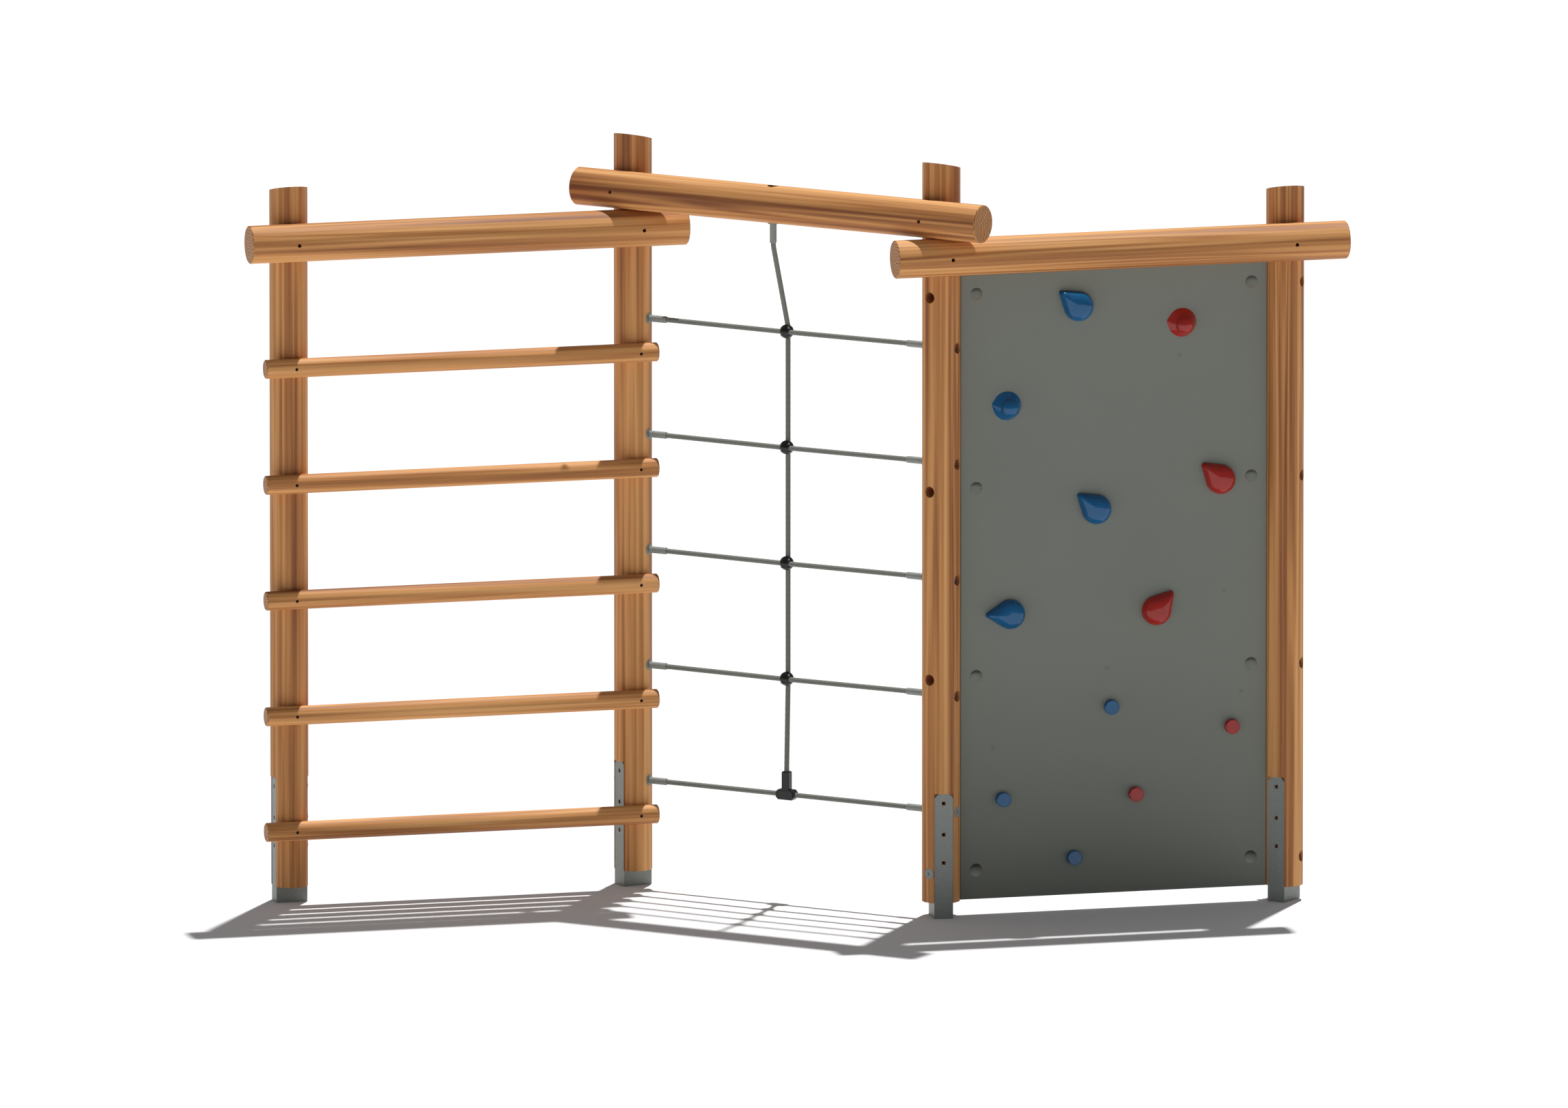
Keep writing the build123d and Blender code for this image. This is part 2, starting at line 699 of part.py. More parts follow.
rope_room = rope_d + 2 * bore_fit
hang_room = tube(hang_route, hang_radii, rope_room).part
connector_seats = []
connector_lengths = []
for number, height in enumerate(rope_heights[1:], 1):
    middle = at_net(0, 0, height)
    face = Plane(origin=middle, x_dir=net_way, z_dir=outward(net_front))
    diagonal = [side * connector_screw_out for side in (-1, 1)]
    seats = [Plane(face * Location((out, out, connector_screw_seat))) for out in diagonal]
    with BuildPart() as connector:
        with Locations(face):
            Sphere(ball_d / 2)
            Box(2 * ball_d, 2 * ball_d, seam, mode=Mode.SUBTRACT)
            Box(2 * ball_d, rope_room - groove_pinch, cross_set, align=base, mode=Mode.SUBTRACT)
            Box(rope_room - groove_pinch, 2 * ball_d, cross_set, align=hung, mode=Mode.SUBTRACT)
        add(tube(level_routes[number], level_radii[number], rope_room).part, mode=Mode.SUBTRACT)
        add(hang_room, mode=Mode.SUBTRACT)
        with Locations(*seats):
            Cylinder(connector_screw_head_d / 2 + bore_fit, ball_d, align=base, mode=Mode.SUBTRACT)
            Cylinder(
                connector_screw_d / 2 + bore_fit,
                connector_screw_l + bore_fit,
                align=hung,
                mode=Mode.SUBTRACT,
            )
    save(connector, f"cross_connector_{number}")
    connector_seats += seats

foot = Plane(origin=at_net(0, 0, rope_heights[0]), x_dir=net_way, z_dir=outward(net_front))
tee_seats = [
    Plane(foot * Location((side * tee_screw_out, -tee_screw_below, connector_screw_seat)))
    for side in (-1, 1)
]
with BuildPart() as tee_connector:
    with BuildSketch(foot):
        Rectangle(tee_l, tee_h)
        chamfer(vertices(), tee_corner)
    extrude(amount=tee_h / 2 - tee_edge, both=True)
    with BuildSketch(foot):
        Rectangle(tee_l - 2 * tee_edge, tee_h - 2 * tee_edge)
        chamfer(vertices(), tee_corner)
    extrude(amount=tee_h / 2, both=True)
    with BuildSketch(Plane(foot.origin, x_dir=net_way, z_dir=(0, 0, 1))):
        RectangleRounded(tee_stem_w, tee_stem_w, tee_corner / 2)
    extrude(amount=tee_stem_top)
    chamfer(tee_connector.faces().sort_by(Axis.Z)[-1].edges(), tee_edge)
    with Locations(foot):
        Box(2 * tee_l, 4 * tee_l, seam, mode=Mode.SUBTRACT)
    add(tube(level_routes[0], [], rope_room).part, mode=Mode.SUBTRACT)
    add(hang_room, mode=Mode.SUBTRACT)
    with Locations(*tee_seats):
        Cylinder(tee_screw_head_d / 2 + bore_fit, tee_h, align=base, mode=Mode.SUBTRACT)
        Cylinder(tee_screw_d / 2 + bore_fit, connector_screw_l + bore_fit, align=hung, mode=Mode.SUBTRACT)
save(tee_connector, "tee_connector")

with BuildPart() as connector_screws:
    for seats, shank_d, head_d in (
        (connector_seats, connector_screw_d, connector_screw_head_d),
        (tee_seats, tee_screw_d, tee_screw_head_d),
    ):
        with Locations(*seats):
            Cylinder(shank_d / 2, connector_screw_l, align=hung)
            Cylinder(head_d / 2, connector_screw_head_h, align=base)
        add(sockets(seats, head_d, connector_screw_head_h), mode=Mode.SUBTRACT)
save(connector_screws, "connector_screws")


def ferrules(seats):
    """Pressed rope ends over their round washers, each washer with its underside on its seat."""
    with BuildPart() as washers:
        with BuildSketch(*seats):
            Circle(disc_d / 2)
            Circle(post_bolt_d / 2 + bore_fit, mode=Mode.SUBTRACT)
        extrude(amount=disc_t)
    with BuildPart() as sleeves:
        with BuildSketch(*[seat.offset(disc_t) for seat in seats]):
            Circle(ferrule_d / 2)
        extrude(amount=ferrule_l)
        chamfer(sleeves.edges().filter_by(GeomType.CIRCLE), ferrule_edge)
        with Locations(*[seat.offset(disc_t) for seat in seats]):
            Cylinder(post_bolt_d / 2 + bore_fit, ferrule_thread + bore_fit, align=base, mode=Mode.SUBTRACT)
        with Locations(*[seat.offset(disc_t + ferrule_l) for seat in seats]):
            Cylinder(rope_d / 2 + bore_fit, ferrule_grip, align=hung, mode=Mode.SUBTRACT)
    return sleeves, washers


spot_r = post_r - spot_depth
all_washers = []
for post, angle, side in ((1, net_right, "left"), (2, net_left, "right")):
    seats = [facing(posts[post], angle, spot_r, height) for height in rope_heights]
    sleeves, washers = ferrules(seats)
    save(sleeves, f"ferrules_{side}")
    all_washers.append(washers.part)
    anchor_places = []
    anchor_lengths = []
    for level, height in enumerate(rope_heights):
        flush = level == 0
        seat = post_r - disc_t if flush else post_r - disc_sink
        anchor_places.append(facing(posts[post], angle + 180, seat, height))
        anchor_lengths.append(seat + disc_out + ferrule_thread)
        bore(post, angle, spot_r, height, disc_d + 2 * fit)
        bore(post, angle + 180, seat, height, disc_d + 2 * fit if flush else counterbore_d)
        bore(post, angle, -post_d, height, post_bolt_d + 2 * bore_fit)
    anchors = socket_screws(
        anchor_places,
        disc_d,
        disc_t,
        post_bolt_d,
        anchor_lengths,
        disc_socket_share,
    )
    save(anchors, f"rope_anchors_{side}")

hanger_seat = Plane(origin=at_net(0, beam_set, hanger_z + disc_t), z_dir=(0, 0, -1))
hanger_ferrule, hanger_washer = ferrules([hanger_seat])
save(hanger_ferrule, "hanger_ferrule")
with BuildPart() as ferrule_washers:
    add(all_washers + [hanger_washer.part])
save(ferrule_washers, "ferrule_washers")
hanger_top = Plane(origin=at_net(0, beam_set, net_beam_z + beam_d / 2 - hanger_sink))
hanger_l = hanger_top.origin.Z - hanger_z + ferrule_thread
hanger_bolt = socket_screws(
    [hanger_top],
    disc_d,
    disc_t,
    post_bolt_d,
    [hanger_l],
    disc_socket_share,
)
save(hanger_bolt, "hanger_bolt")

# ---- Posts, with everything that is cut in them
top_heights = [height + post_above_beam for height in (beam_z, net_beam_z, net_beam_z, beam_z)]
top_angles = (front, net_front, net_front, front)
for number, centre in enumerate(posts, 1):
    top_z = top_heights[number - 1]
    top_angle = top_angles[number - 1]
    saw = Vector(0, 0, cos(radians(post_top_slope))) - outward(top_angle) * sin(radians(post_top_slope))
    shoe_way = outward(shoe_angles[number - 1])
    with BuildPart() as post:
        with BuildSketch(Plane(centre + Vector(0, 0, leg_h))):
            Circle(post_r)
        extrude(amount=top_z - leg_h + post_r)
        split(bisect_by=Plane(origin=centre + Vector(0, 0, top_z), z_dir=saw), keep=Keep.BOTTOM)
        for plane, radius in saddles[number - 1]:
            with Locations(plane):
                Cylinder(radius, 4 * post_d, mode=Mode.SUBTRACT)
        for side in (-1, 1):
            inner = shoe_depth / 2 - shoe_wall - fit
            place = centre + shoe_way * (side * inner) + Vector(0, 0, leg_h)
            with Locations(Plane(origin=place, x_dir=shoe_way * side, z_dir=(0, 0, 1))):
                Box(
                    post_d,
                    shoe_width + 2 * fit,
                    strap_top_z - leg_h + fit,
                    align=(Align.MIN, Align.CENTER, Align.MIN),
                    mode=Mode.SUBTRACT,
                )
        for plane, radius, depth in bores[number - 1]:
            with Locations(plane):
                Cylinder(radius, depth, align=hung, mode=Mode.SUBTRACT)
    save(post, f"post_{number}")

print("origin from the net's middle", net_middle)
for number, centre in enumerate(posts, 1):
    print("post", number, centre, "top", top_heights[number - 1])
print("rungs", rung_heights, "ropes", rope_heights)
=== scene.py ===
"""The looks of a timber climbing frame: its larch, steel, rope, moulded holds, floor, light and camera.

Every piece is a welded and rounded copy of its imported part, or, for the ropes, a new mesh made here
from a formula. Lengths are metres, +X runs along the ladder and the wall, the front faces -Y.
"""

import logging
import math
from dataclasses import dataclass
from enum import Enum
from typing import Any, Iterable

import bmesh
import bpy
import numpy as np
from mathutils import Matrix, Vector


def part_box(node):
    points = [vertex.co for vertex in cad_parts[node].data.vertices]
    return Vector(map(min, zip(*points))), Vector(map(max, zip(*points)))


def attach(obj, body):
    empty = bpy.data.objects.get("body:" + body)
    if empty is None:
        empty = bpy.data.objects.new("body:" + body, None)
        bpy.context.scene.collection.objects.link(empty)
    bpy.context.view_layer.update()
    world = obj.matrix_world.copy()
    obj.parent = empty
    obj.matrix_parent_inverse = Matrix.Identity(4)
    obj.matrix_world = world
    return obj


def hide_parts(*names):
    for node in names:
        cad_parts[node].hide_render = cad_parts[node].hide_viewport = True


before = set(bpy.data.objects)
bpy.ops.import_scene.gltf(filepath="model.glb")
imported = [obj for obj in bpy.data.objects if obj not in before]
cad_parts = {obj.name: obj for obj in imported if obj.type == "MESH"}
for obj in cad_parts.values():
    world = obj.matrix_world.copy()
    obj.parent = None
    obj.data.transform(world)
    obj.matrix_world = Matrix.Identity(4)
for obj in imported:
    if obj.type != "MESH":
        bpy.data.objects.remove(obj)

logging.basicConfig(level=logging.INFO, format="%(levelname)s %(message)s")
log = logging.getLogger("climbing_frame")

UP = Vector((0, 0, 1))
ACROSS = Vector((1, 0, 0))
# An edge that turns by more than this many degrees stays sharp.
SHARP = 32.0
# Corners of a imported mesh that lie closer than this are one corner.
WELD = 2e-6

Socket = bpy.types.NodeSocket
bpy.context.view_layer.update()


class Slot(Enum):
    """The record's material slots."""

    LARCH = "larch"
    GALVANISED = "galvanised"
    ZINC = "zinc_fasteners"
    PANEL = "grey_panel"
    PLUG = "grey_plug"
    BLUE = "blue_resin"
    RED = "red_resin"
    ROPE = "rope"
    NYLON = "black_nylon"


def colour(code: str) -> tuple[float, float, float, float]:
    """Turn an sRGB hex code into the linear colour that a shader takes.

    Args:
        code: six hex digits after a hash sign.

    Returns:
        Linear red, green and blue, and an alpha of 1.
    """
    parts = [int(code[i : i + 2], 16) / 255 for i in (1, 3, 5)]
    linear = [c / 12.92 if c <= 0.04045 else ((c + 0.055) / 1.055) ** 2.4 for c in parts]
    return (*linear, 1.0)


class Shader:
    """A material's node tree, with the one function that adds a node to it."""

    def __init__(self, name: str) -> None:
        """Start an empty material.

        Args:
            name: the finish it stands for.
        """
        self.material = bpy.data.materials.new(name)
        self.material.use_nodes = True
        self.tree = self.material.node_tree
        self.tree.nodes.clear()

    def add(self, kind: str, values: dict, out: int | str = 0, **settings: Any) -> Socket | None:
        """Add a node, set it up, feed its inputs and pick one of its outputs.

        Args:
            kind: the node's type without the ShaderNode prefix.
            values: for each input's name or number, a constant or a socket that feeds it.
            out: the name or number of the output to hand on.
            settings: the node's own properties.

        Returns:
            That output's socket, or None for a node without outputs.
        """
        node = self.tree.nodes.new(f"ShaderNode{kind}")
        for name, value in settings.items():
            setattr(node, name, value)
        for name, value in values.items():
            if isinstance(value, Socket):
                self.tree.links.new(value, node.inputs[name])
            else:
                node.inputs[name].default_value = value
        return node.outputs[out] if node.outputs else None

    def finish(self, surface: dict, height: Socket | None, depth: float = 0.0) -> bpy.types.Material:
        """Close the material with a Principled surface and an optional bump.

        Args:
            surface: the Principled inputs.
            height: the socket of the bump's height from 0 to 1, or None for a plain surface.
            depth: how many metres that height stands for.

        Returns:
            The finished material.
        """
        values = dict(surface)
        if height is not None:
            values["Normal"] = self.add("Bump", {"Height": height, "Distance": depth, "Strength": 1.0})
        shade = self.add("BsdfPrincipled", values)
        self.add("OutputMaterial", {0: shade})
        return self.material


@dataclass(frozen=True)
class Timber:
    """Turned larch under an oil finish, with long streaks on its side and rings on its cut ends.

    The oil leaves it satin, and its pale and dark streaks give it its stripes. A scale is how many
    features lie in a metre, twice across the grain and once along it. Across it, they stand for patches
    of 70 mm, bands of 50 mm, streaks of 12 mm, lines of 5 mm and fibres of 1.4 mm. Real fibres are finer
    still, and wouldn't show.
    """

    light: str = "#F0B474"
    mid: str = "#C98A51"
    dark: str = "#8A5230"
    end_light: str = "#CF9763"
    end_dark: str = "#7E4A28"
    hole: str = "#A85C38"
    patches: tuple = (14, 14, 0.35)
    bands: tuple = (20, 20, 0.4)
    streaks: tuple = (85, 85, 0.8)
    lines: tuple = (210, 210, 1.1)
    fibres: tuple = (700, 700, 9)
    wobbles: tuple = (38, 38, 0.0)
    band_turn: float = 34.0
    ring_turn: float = 640.0
    ring_wobble: float = 0.016
    bore_from: float = 0.0045
    bore_full: float = 0.0075
    gloss: float = 0.25
    relief: float = 0.0009

    def layer(self, s: Shader, grain: Socket, scale: tuple, detail: float, rough: float = 0.5) -> Socket:
        """Lay one noise along the grain.

        Args:
            s: the shader.
            grain: the grain coordinate.
            scale: how many features lie in a metre of each of its axes.
            detail: how many finer layers it has.
            rough: how strong each finer layer is.

        Returns:
            The noise, about 0.5 in the middle.
        """
        spot = s.add("VectorMath", {0: grain, 1: scale}, operation="MULTIPLY")
        return s.add("TexNoise", {"Vector": spot, "Scale": 1.0, "Detail": detail, "Roughness": rough})

    def side(self, s: Shader, grain: Socket, streaks: Socket, fibres: Socket) -> Socket:
        """Colour the round side, from the sum of bands, patches, streaks, lines and fibres.

        Args:
            s: the shader.
            grain: the grain coordinate.
            streaks: the noise of the streaks.
            fibres: the noise of the fibres.

        Returns:
            The colour, pale where that sum is low.
        """
        patches = self.layer(s, grain, self.patches, 1.5)
        field = self.layer(s, grain, self.bands, 1.0)
        lines = self.layer(s, grain, self.lines, 1.0)
        wave = s.add("Math", {0: field, 1: self.band_turn}, operation="MULTIPLY")
        wave = s.add("Math", {0: wave}, operation="SINE")
        bands = s.add("MapRange", {0: wave, 1: -1.0, 2: 1.0})
        figure = 0.0
        for part, share in ((bands, 0.26), (patches, 1.35), (streaks, 0.85), (lines, 0.30), (fibres, 0.10)):
            figure = s.add("Math", {0: part, 1: share, 2: figure}, operation="MULTIPLY_ADD")
        figure = s.add("MapRange", {0: figure, 1: 1.05, 2: 1.82})
        pale = s.add("MapRange", {0: figure, 1: 0.0, 2: 0.55})
        deep = s.add("MapRange", {0: figure, 1: 0.5, 2: 1.0})
        base = s.add("Mix", {0: pale, 6: colour(self.light), 7: colour(self.mid)}, 2, data_type="RGBA")
        return s.add("Mix", {0: deep, 6: base, 7: colour(self.dark)}, 2, data_type="RGBA")

    def end(self, s: Shader, grain: Socket, fibres: Socket) -> Socket:
        """Colour a cut end with rings about the heart, the sine of the wobbling distance from it.

        Args:
            s: the shader.
            grain: the grain coordinate.
            fibres: the noise of the fibres.

        Returns:
            The colour, dark where the year's late wood is.
        """
        wobble = self.layer(s, grain, self.wobbles, 2.0)
        flat = s.add("VectorMath", {0: grain, 1: (1, 1, 0)}, operation="MULTIPLY")
        reach = s.add("VectorMath", {0: flat}, "Value", operation="LENGTH")
        reach = s.add("Math", {0: wobble, 1: self.ring_wobble, 2: reach}, operation="MULTIPLY_ADD")
        wave = s.add("Math", {0: reach, 1: self.ring_turn}, operation="MULTIPLY")
        wave = s.add("Math", {0: wave}, operation="SINE")
        rings = s.add("MapRange", {0: wave, 1: -0.2, 2: 1.0})
        rings = s.add("Math", {0: rings, 1: 0.75}, operation="MULTIPLY")
        rings = s.add("Math", {0: fibres, 1: 0.2, 2: rings}, operation="MULTIPLY_ADD")
        ends = {0: rings, 6: colour(self.end_light), 7: colour(self.end_dark)}
        return s.add("Mix", ends, 2, data_type="RGBA")

    def material(self) -> bpy.types.Material:
        """Build the larch.

        Returns:
            A material that reads the attributes grain, cut and depth.
        """
        s = Shader("oiled_larch")
        grain = s.add("Attribute", {}, "Vector", attribute_name="grain")
        cut = s.add("Attribute", {}, "Fac", attribute_name="cut")
        depth = s.add("Attribute", {}, "Fac", attribute_name="depth")
        streaks = self.layer(s, grain, self.streaks, 2.0, 0.55)
        fibres = self.layer(s, grain, self.fibres, 1.0)
        side, end = self.side(s, grain, streaks, fibres), self.end(s, grain, fibres)
        base = s.add("Mix", {0: cut, 6: side, 7: end}, 2, data_type="RGBA")
        # The walls of bores and slots show bare wood, redder than the oiled outside.
        inside = s.add("MapRange", {0: depth, 1: self.bore_from, 2: self.bore_full})
        base = s.add("Mix", {0: inside, 6: base, 7: colour(self.hole)}, 2, data_type="RGBA")
        height = s.add("Math", {0: streaks, 1: 0.6}, operation="MULTIPLY")
        height = s.add("Math", {0: fibres, 1: 0.4, 2: height}, operation="MULTIPLY_ADD")
        rough = s.add("MapRange", {0: streaks, 1: 0.3, 2: 0.7, 3: 0.62, 4: 0.46})
        surface = {"Base Color": base, "Roughness": rough, "Specular IOR Level": self.gloss}
        return s.finish(surface, height, self.relief)


@dataclass(frozen=True)
class Steel:
    """Steel under zinc: hot-dip galvanised, which dulls it with grey flakes, or thinly plated.

    The spangle and the grit are features in a metre: flakes of 2.4 mm or 1.1 mm, and grit of 1.1 mm.
    """

    name: str = "hot_dip_galvanised_steel"
    light: str = "#A9AEA9"
    dark: str = "#858A86"
    metal: float = 0.2
    rough: float = 0.5
    spangle: float = 420.0
    # Painted shade towards the ground: how strongly, in which colour and below which height.
    darkening: float = 0.0
    foot_shade: str = "#4A4A46"
    foot_shade_top: float = 0.16
    grit: float = 900.0
    relief: float = 0.00012

    def material(self) -> bpy.types.Material:
        """Build the steel.

        Returns:
            A material in object coordinates, with painted shade darkening it towards the ground when set.
        """
        s = Shader(self.name)
        spot = s.add("TexCoord", {}, "Object")
        cells = s.add("TexVoronoi", {"Vector": spot, "Scale": self.spangle}, "Color")
        flake = s.add("SeparateColor", {0: cells})
        grit = s.add("TexNoise", {"Vector": spot, "Scale": self.grit, "Detail": 2.0})
        shade = s.add("Math", {0: flake, 1: 0.3}, operation="MULTIPLY")
        shade = s.add("Math", {0: grit, 1: 0.7, 2: shade}, operation="MULTIPLY_ADD")
        bright = s.add("MapRange", {0: shade, 1: 0.25, 2: 0.95})
        base = s.add("Mix", {0: bright, 6: colour(self.dark), 7: colour(self.light)}, 2, data_type="RGBA")
        height = s.add("SeparateXYZ", {0: spot}, 2)
        # Painted shade: darker towards the ground, below a height.
        low = s.add("MapRange", {0: height, 1: self.foot_shade_top, 2: 0.0})
        low = s.add("Math", {0: low, 1: self.darkening}, operation="MULTIPLY")
        base = s.add("Mix", {0: low, 6: base, 7: colour(self.foot_shade)}, 2, data_type="RGBA")
        dull = {0: shade, 1: 0.2, 2: 1.0, 3: self.rough - 0.08, 4: self.rough + 0.12}
        surface = {"Base Color": base, "Metallic": self.metal, "Roughness": s.add("MapRange", dull)}
        return s.finish(surface, grit, self.relief)


@dataclass(frozen=True)
class Laminate:
    """High-pressure laminate with a fine pressed texture, and painted shade darkening it towards the foot.

    Painted light lies where it faces up and painted shade where it faces down, which shows in its dishes.
    The clouds and the grit are features in a metre: stains of 600 mm, and a pressed grain of 0.7 mm.
    """

    name: str = "grey_high_pressure_laminate"
    base: str = "#7F8379"
    # The darker colour of its random stains, which also paints shade towards the foot.
    darkening: str = "#62655E"
    pressed: str = "#5C5D57"
    # Painted light where it faces up, and painted shade where it faces down.
    painted_top_light: str = "#B4B8AF"
    painted_under_shade: str = "#2A2C28"
    foot: float = 0.9
    clouds: float = 1.6
    grit: float = 1400.0
    rough: float = 0.56
    relief: float = 0.0001

    def material(self) -> bpy.types.Material:
        """Build the laminate.

        Returns:
            A material in object coordinates.
        """
        s = Shader(self.name)
        spot = s.add("TexCoord", {}, "Object")
        clouds = s.add("TexNoise", {"Vector": spot, "Scale": self.clouds, "Detail": 3.0})
        grit = s.add("TexNoise", {"Vector": spot, "Scale": self.grit, "Detail": 1.0})
        height = s.add("SeparateXYZ", {0: spot}, 2)
        normal = s.add("NewGeometry", {}, "Normal")
        tilt = s.add("SeparateXYZ", {0: normal}, 2)
        low = s.add("MapRange", {0: height, 1: self.foot, 2: 0.05})
        low = s.add("Math", {0: clouds, 1: 0.1, 2: low}, operation="MULTIPLY_ADD")
        # Each coat is how strongly it covers and its colour, laid over the ones before it.
        coats = (
            (s.add("MapRange", {0: clouds, 1: 0.35, 2: 0.7, 4: 0.12}), self.darkening),
            # Painted shade: darker towards the foot.
            (s.add("Math", {0: low, 1: 0.35}, operation="MULTIPLY", use_clamp=True), self.darkening),
            (s.add("MapRange", {0: grit, 1: 0.3, 2: 0.7, 4: 0.14}), self.pressed),
            # Painted light: lighter where it faces up.
            (s.add("MapRange", {0: tilt, 1: 0.05, 2: 0.75, 4: 0.8}), self.painted_top_light),
            # Painted shade: darker where it faces down.
            (s.add("MapRange", {0: tilt, 1: -0.03, 2: -0.5, 4: 0.9}), self.painted_under_shade),
        )
        base = colour(self.base)
        for cover, code in coats:
            base = s.add("Mix", {0: cover, 6: base, 7: colour(code)}, 2, data_type="RGBA")
        return s.finish({"Base Color": base, "Roughness": self.rough}, grit, self.relief)


@dataclass(frozen=True)
class Resin:
    """Glossy moulded resin of a hold or a peg, with the shallow unevenness of its mould.

    The mould's patches are 45 mm wide and the grit that breaks up its shine is 1.4 mm, as features in
    a metre.
    """

    name: str
    base: str
    shade: str
    patches: float = 22.0
    grit: float = 700.0
    gloss: float = 0.45
    relief: float = 0.0004

    def material(self) -> bpy.types.Material:
        """Build the resin.

        Returns:
            A material in object coordinates.
        """
        s = Shader(self.name)
        spot = s.add("TexCoord", {}, "Object")
        patch = s.add("TexNoise", {"Vector": spot, "Scale": self.patches, "Detail": 2.0})
        grit = s.add("TexNoise", {"Vector": spot, "Scale": self.grit, "Detail": 1.0})
        deep = s.add("MapRange", {0: patch, 1: 0.35, 2: 0.75, 4: 0.6})
        base = s.add("Mix", {0: deep, 6: colour(self.base), 7: colour(self.shade)}, 2, data_type="RGBA")
        rough = s.add("MapRange", {0: grit, 1: 0.2, 2: 0.8, 3: 0.08, 4: 0.16})
        surface = {"Base Color": base, "Roughness": rough, "Specular IOR Level": self.gloss}
        return s.finish(surface, patch, self.relief)


@dataclass(frozen=True)
class Nylon:
    """Moulded black nylon of the rope connectors, satin and a little paler where it is rubbed.

    The rubbed patches are 17 mm wide and the grit is 0.6 mm, as features in a metre.
    """

    base: str = "#0A0B0B"
    worn: str = "#191B1C"
    patches: float = 60.0
    grit: float = 1600.0
    rough: float = 0.24
    relief: float = 0.00004

    def material(self) -> bpy.types.Material:
        """Build the nylon.

        Returns:
            A material in object coordinates.
        """
        s = Shader("satin_black_nylon")
        spot = s.add("TexCoord", {}, "Object")
        patch = s.add("TexNoise", {"Vector": spot, "Scale": self.patches, "Detail": 3.0})
        rubbed = s.add("MapRange", {0: patch, 1: 0.45, 2: 0.75})
        base = s.add("Mix", {0: rubbed, 6: colour(self.base), 7: colour(self.worn)}, 2, data_type="RGBA")
        grit = s.add("TexNoise", {"Vector": spot, "Scale": self.grit, "Detail": 1.0})
        return s.finish({"Base Color": base, "Roughness": self.rough}, grit, self.relief)


@dataclass(frozen=True)
class Sheath:
    """Grey polyester yarn over steel strands: the six laid strands of a net rope, dull and fuzzy.

    The yarns cross a strand at a slant, six to a turn round the rope and one to each 3 mm along it.
    Real yarns are finer, and wouldn't show. The fuzz is 0.8 mm.
    """

    light: str = "#8C8E87"
    dark: str = "#6E7069"
    # The groove colour is painted shade between the strands.
    groove: str = "#55574F"
    yarns_round: float = 6.0
    yarns_along: float = 330.0
    fuzz: float = 1200.0
    rough: float = 0.86
    sheen: float = 0.15
    relief: float = 0.00015

    def material(self) -> bpy.types.Material:
        """Build the rope's yarn.

        Returns:
            A material that reads the attribute crest and the UV map, turns round by metres along.
        """
        s = Shader("grey_polyester_rope")
        place = s.add("TexCoord", {}, "UV")
        turns, along = (s.add("SeparateXYZ", {0: place}, axis) for axis in (0, 1))
        slant = s.add("Math", {0: turns, 1: self.yarns_round}, operation="MULTIPLY")
        slant = s.add("Math", {0: along, 1: self.yarns_along, 2: slant}, operation="MULTIPLY_ADD")
        slant = s.add("Math", {0: slant, 1: math.tau}, operation="MULTIPLY")
        wave = s.add("Math", {0: slant}, operation="SINE")
        yarn = s.add("MapRange", {0: wave, 1: -1.0, 2: 1.0})
        spot = s.add("TexCoord", {}, "Object")
        fuzz = s.add("TexNoise", {"Vector": spot, "Scale": self.fuzz, "Detail": 2.0})
        tone = s.add("Math", {0: yarn, 1: 0.2}, operation="MULTIPLY")
        tone = s.add("Math", {0: fuzz, 1: 0.95, 2: tone}, operation="MULTIPLY_ADD")
        bright = s.add("MapRange", {0: tone, 1: 0.2, 2: 1.0})
        base = s.add("Mix", {0: bright, 6: colour(self.dark), 7: colour(self.light)}, 2, data_type="RGBA")
        # Painted shade: the grooves between the strands are painted darker.
        crest = s.add("Attribute", {}, "Fac", attribute_name="crest")
        sunk = s.add("MapRange", {0: crest, 1: 0.45, 2: 0.0})
        base = s.add("Mix", {0: sunk, 6: base, 7: colour(self.groove)}, 2, data_type="RGBA")
        surface = {"Base Color": base, "Roughness": self.rough, "Sheen Weight": self.sheen}
        return s.finish(surface, tone, self.relief)


def finishes() -> dict[Slot, bpy.types.Material]:
    """Build every material once.

    Returns:
        The material of each slot.
    """
    return {
        Slot.LARCH: Timber().material(),
        Slot.GALVANISED: Steel(darkening=0.15).material(),
        Slot.ZINC: Steel("bright_zinc_plate", "#C6CACB", "#8F9495", 0.85, 0.32, 900.0).material(),
        Slot.PANEL: Laminate().material(),
        Slot.PLUG: Laminate("grey_moulded_plug", "#777B71", "#5C5F58").material(),
        Slot.BLUE: Resin("blue_resin", "#075A8C", "#064C7A").material(),
        Slot.RED: Resin("red_resin", "#A8231B", "#901C16").material(),
        Slot.ROPE: Sheath().material(),
        Slot.NYLON: Nylon().material(),
    }


def welded(node: str, sharp: float = SHARP) -> bmesh.types.BMesh:
    """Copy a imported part's mesh with its loose corners joined.

    Args:
        node: the part's name.
        sharp: the turn in degrees above which an edge stays sharp.

    Returns:
        The welded mesh, smooth but for its sharp edges.
    """
    mesh = bmesh.new()
    mesh.from_mesh(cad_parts[node].data)
    bmesh.ops.remove_doubles(mesh, verts=mesh.verts, dist=WELD)
    smooth(mesh, sharp)
    return mesh


def smooth(mesh: bmesh.types.BMesh, sharp: float) -> None:
    """Smooth every face, and keep the edges that turn by more than sharp.

    Args:
        mesh: the mesh to change.
        sharp: that turn in degrees.
    """
    for face in mesh.faces:
        face.smooth = True
    for edge in mesh.edges:
        edge.smooth = len(edge.link_faces) == 2 and edge.calc_face_angle(0) < math.radians(sharp)


